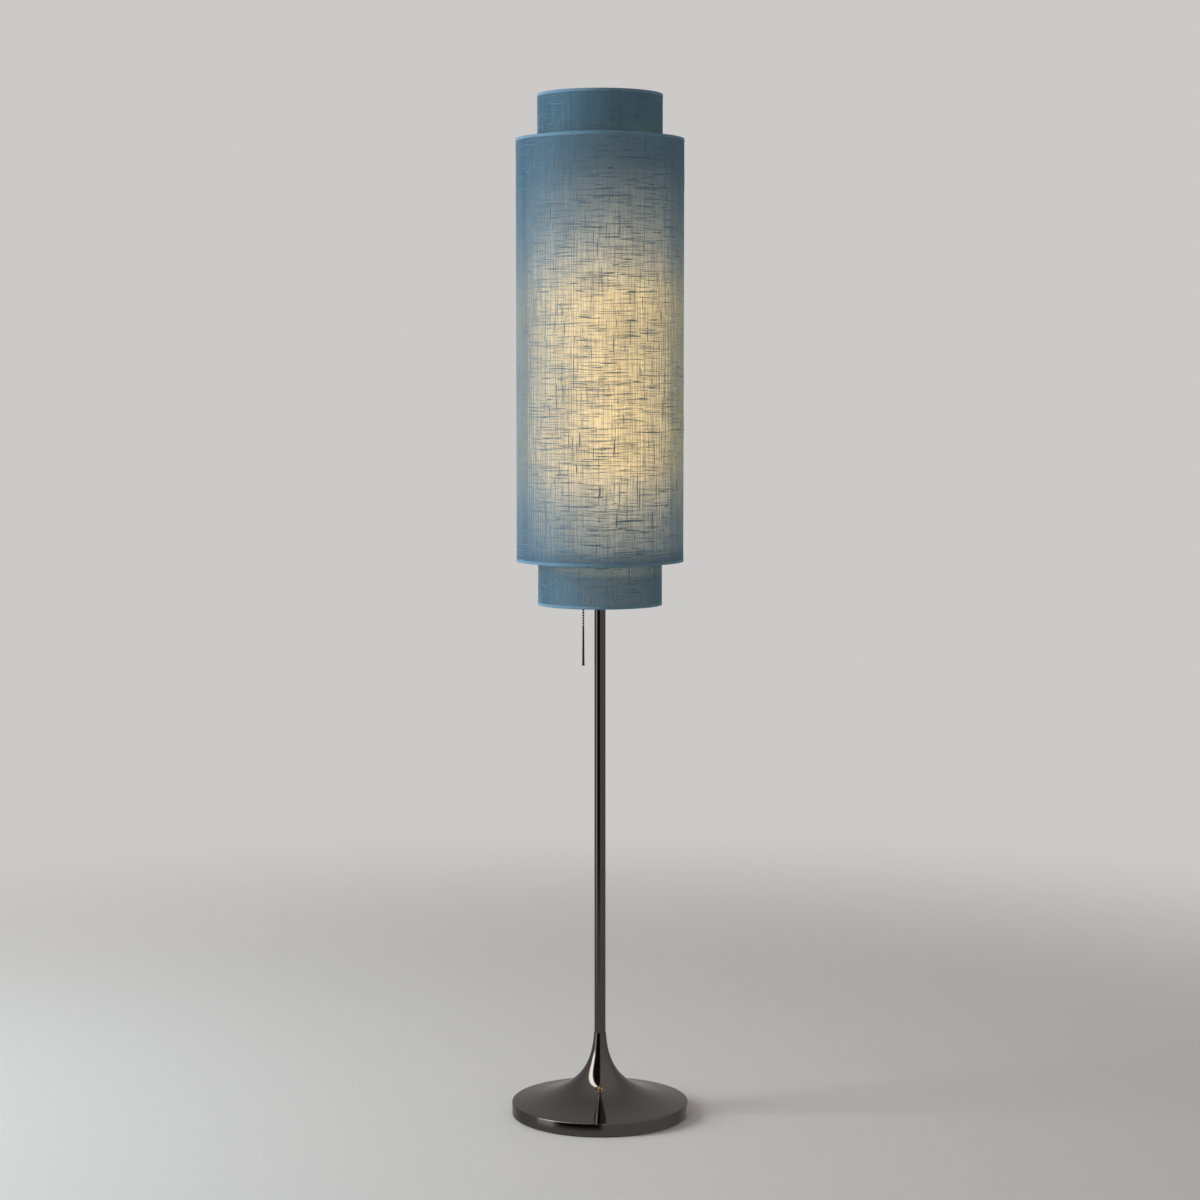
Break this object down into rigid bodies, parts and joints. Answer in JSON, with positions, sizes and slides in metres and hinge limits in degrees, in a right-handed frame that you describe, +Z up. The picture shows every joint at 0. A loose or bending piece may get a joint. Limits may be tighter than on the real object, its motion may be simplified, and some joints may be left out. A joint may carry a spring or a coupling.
{
  "type": "column floor lamp",
  "caption": "Column floor lamp: tall stepped linen drum shade on a slender pole with a trumpet base and a pull-chain switch.",
  "frame": {"origin": "on the floor, at the centre of the base's underside, on the pole's axis", "axes": "+Z up along the pole; -Y towards the front, +Y towards the cord outlet at the back of the base; the pull chain hangs on the -X side"},
  "size_m": [0.2615, 0.2615, 1.5],
  "materials": {
    "black_nickel": "mirror black nickel plating",
    "cast_weight": "as cast, painted black",
    "felt_pad": "black foam pad",
    "zinc_steel": "zinc plated",
    "black_plastic": "moulded",
    "lead_sleeve": "insulated lead",
    "brass": "plain",
    "dark_chain": "black nickel bead chain",
    "dark_bar": "black nickel",
    "lit_linen": "slubby blue linen, lit from within",
    "blue_linen": "slubby blue linen",
    "white_lining": "matt white shade lining",
    "white_wire": "white powder coat",
    "porcelain": "glazed",
    "opal_glass": "opal, lit warm white"
  },
  "bodies": {
    "stand": {"base_cover": "black_nickel", "base_weight": "cast_weight", "foot_pad": "felt_pad", "base_nipple": "zinc_steel", "base_washer": "zinc_steel", "base_nut": "zinc_steel", "cord_bushing": "black_plastic", "pole_tube": "black_nickel", "pole_foot_insert": "zinc_steel", "pole_top_insert": "zinc_steel", "stem_tube": "zinc_steel", "stem_nuts": "zinc_steel", "inner_leads": "lead_sleeve", "switch_cup": "black_nickel", "cup_lid": "black_nickel", "switch_body": "black_plastic", "drum_pin": "zinc_steel", "return_spring": "zinc_steel", "chain_outlet": "black_nickel", "seat_nut": "zinc_steel", "seat_washer": "zinc_steel", "retaining_nut": "black_nickel", "lower_arm_hub": "black_nickel", "lower_arm_tube": "black_nickel", "lower_holder_cap": "black_nickel", "lower_holder_insulator": "porcelain", "lower_centre_contact": "brass", "lower_socket_shell": "brass", "lower_holder_shell": "black_nickel", "lower_bulb_cap": "zinc_steel", "lower_bulb_glass": "opal_glass", "upper_arm_hub": "black_nickel", "upper_arm_tube": "black_nickel", "upper_holder_cap": "black_nickel", "upper_holder_insulator": "porcelain", "upper_centre_contact": "brass", "upper_socket_shell": "brass", "upper_holder_shell": "black_nickel", "upper_bulb_cap": "zinc_steel", "upper_bulb_glass": "opal_glass"},
    "shade": {"middle_drum_linen": "lit_linen", "middle_drum_lining": "white_lining", "upper_drum_linen": "blue_linen", "upper_drum_lining": "white_lining", "lower_drum_linen": "blue_linen", "lower_drum_lining": "white_lining", "upper_frame": "white_wire", "lower_frame": "white_wire", "lower_rim_ring": "white_wire", "top_spider": "white_wire"},
    "chain_head": {"chain_top": "dark_chain"},
    "chain_middle": {"chain_upper": "dark_chain"},
    "pull": {"chain_lower": "dark_chain", "pull_bar": "dark_bar"},
    "switch_drum": {"pull_drum": "brass"}
  },
  "joints": [
    {"name": "shade_turn", "type": "hinge", "parent": "stand", "child": "shade", "pos_m": [0, 0, 1.471], "axis": [0, 0, 1], "continuous": true},
    {"name": "chain_pull", "type": "slide", "parent": "stand", "child": "chain_head", "axis": [0, 0, -1], "range_m": [0, 0.01], "stiffness_N_per_m": 400, "springref_m": -0.002},
    {"name": "switch_drum_turn", "type": "hinge", "parent": "stand", "child": "switch_drum", "pos_m": [-0.0175, 0, 0.8325], "axis": [0, -1, 0], "range_deg": [0, 82]},
    {"name": "chain_swing_front_back", "type": "hinge", "parent": "chain_head", "child": "chain_middle", "pos_m": [-0.0245, 0, 0.8045], "axis": [1, 0, 0], "range_deg": [-40, 40]},
    {"name": "chain_swing_side", "type": "hinge", "parent": "chain_middle", "child": "pull", "pos_m": [-0.0245, 0, 0.7645], "axis": [0, 1, 0], "range_deg": [-7, 45]}
  ],
  "couplings": [
    {"joint": "switch_drum_turn", "follows": "chain_pull", "rad_per_m": 142.86}
  ]
}
